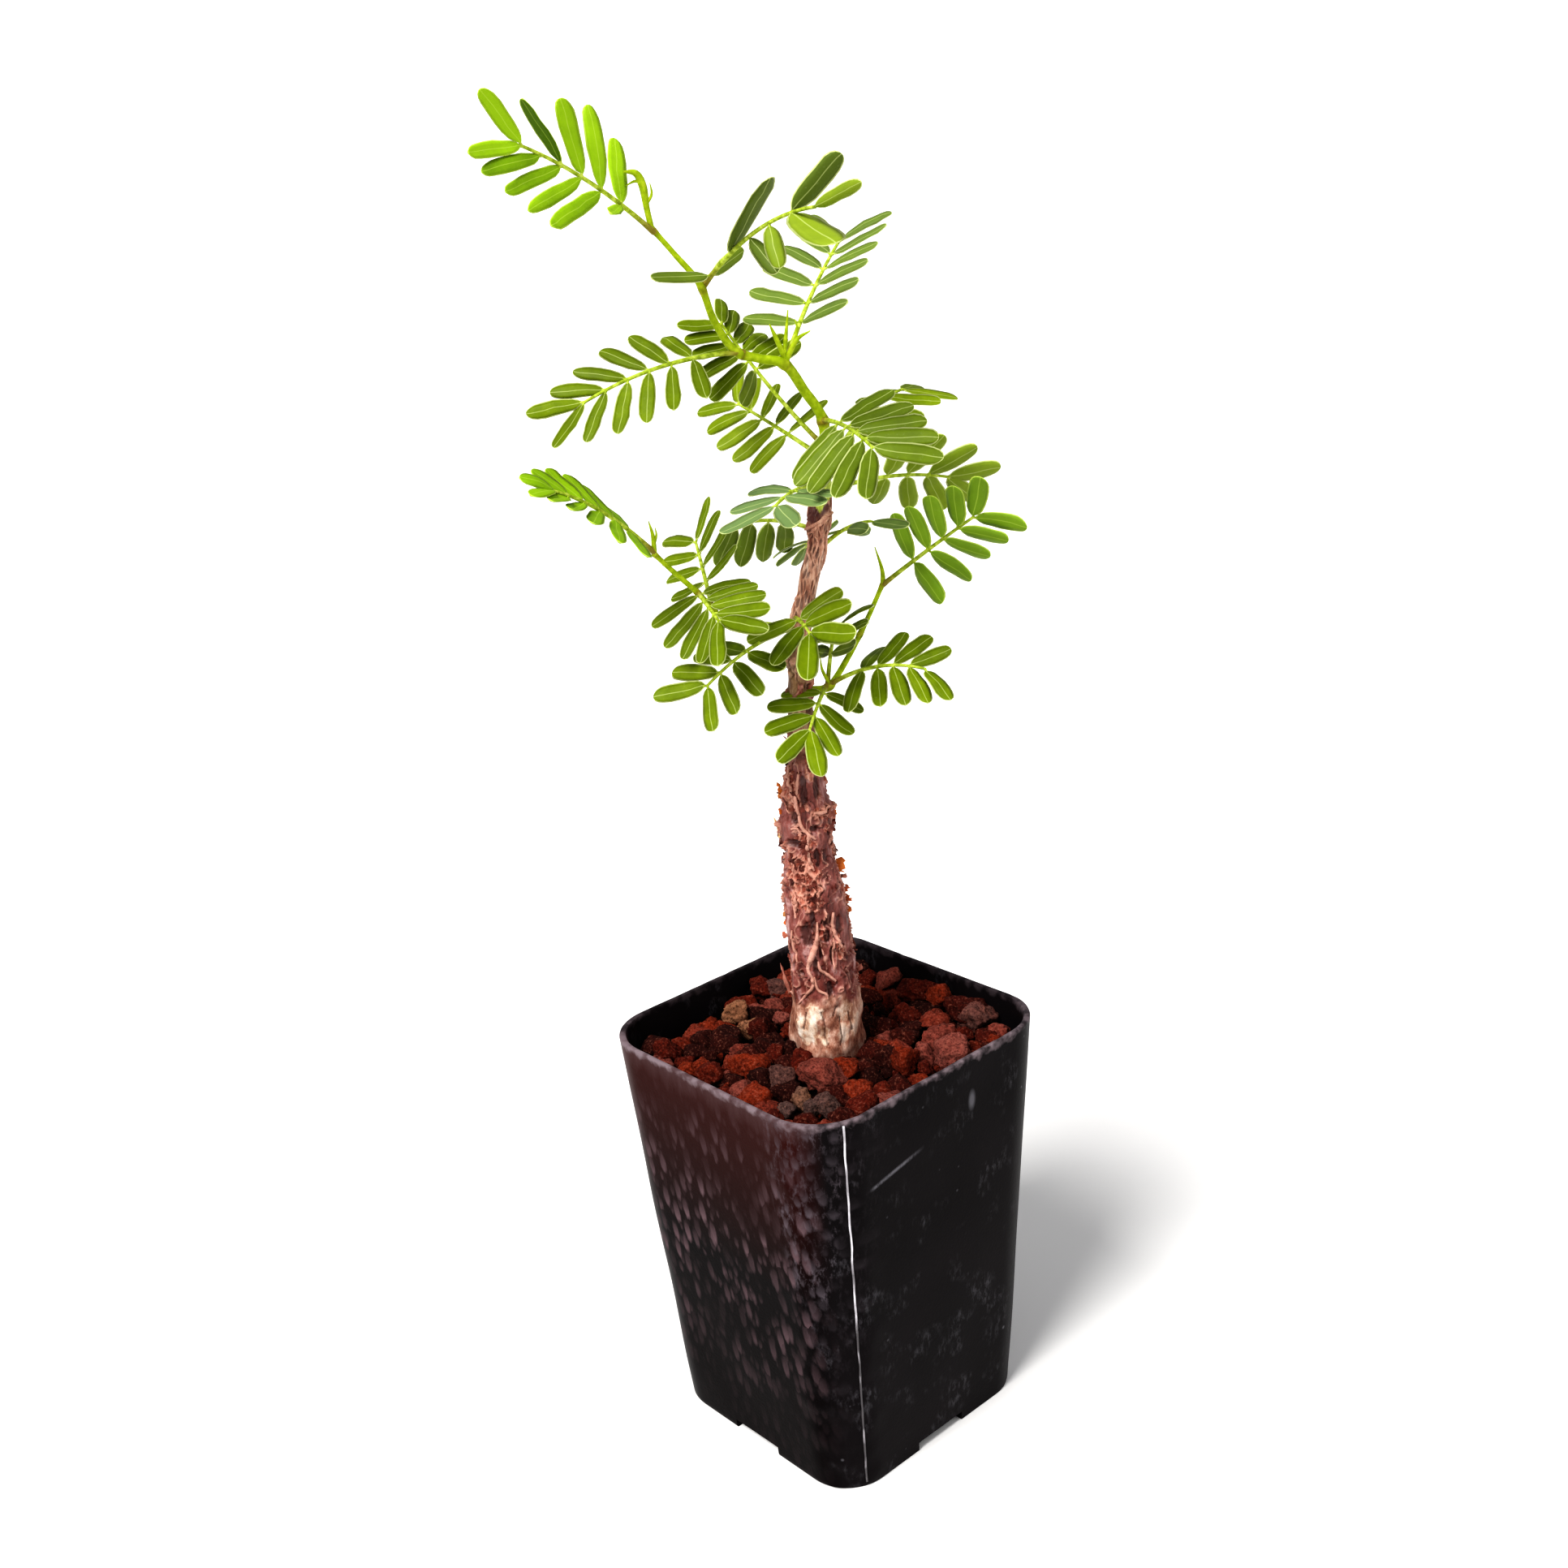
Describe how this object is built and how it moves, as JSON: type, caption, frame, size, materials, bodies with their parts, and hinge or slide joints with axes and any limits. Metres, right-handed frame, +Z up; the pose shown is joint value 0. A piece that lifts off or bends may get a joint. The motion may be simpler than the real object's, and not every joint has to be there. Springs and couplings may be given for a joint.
{
  "type": "potted succulent shrub",
  "caption": "Young caudex shrub with a thick barky trunk and feathery green leaves, standing in red lava gravel in a tapered square black nursery pot.",
  "frame": {"origin": "middle of the pot's underside, on the surface that it stands on", "axes": "+Z up along the trunk, X and Y square to the pot's four sides"},
  "size_m": [0.0779, 0.0975, 0.2597],
  "materials": {
    "pot_plastic": "satin",
    "lava_stone": "rough",
    "bark": "rough",
    "green_stem": "satin",
    "leaf": "satin",
    "young_leaf": "satin"
  },
  "bodies": {
    "root": {"pot": "pot_plastic", "lava_gravel": "lava_stone", "trunk": "bark", "main_shoot": "green_stem", "left_branch": "green_stem", "right_branch": "green_stem", "leaf_crown": "young_leaf", "leaf_front_top": "leaf", "leaf_back_top": "leaf", "leaf_left": "leaf", "leaf_behind_shoot": "leaf", "leaf_low_left": "leaf", "leaf_fan": "leaf", "leaf_back_right": "leaf", "leaf_right": "leaf", "leaf_low_right": "leaf", "leaf_pale": "leaf", "leaf_hanging": "leaf", "leaf_left_tip": "young_leaf", "leaf_mid_left": "leaf", "leaf_behind_trunk": "leaf", "leaf_thin_right": "leaf", "leaf_fan_left": "leaf", "leaf_low_left_front": "leaf", "leaf_front_fan": "leaf", "leaf_bottom": "leaf", "leaf_right_bottom": "leaf", "leaf_behind_fan": "leaf"}
  },
  "joints": []
}
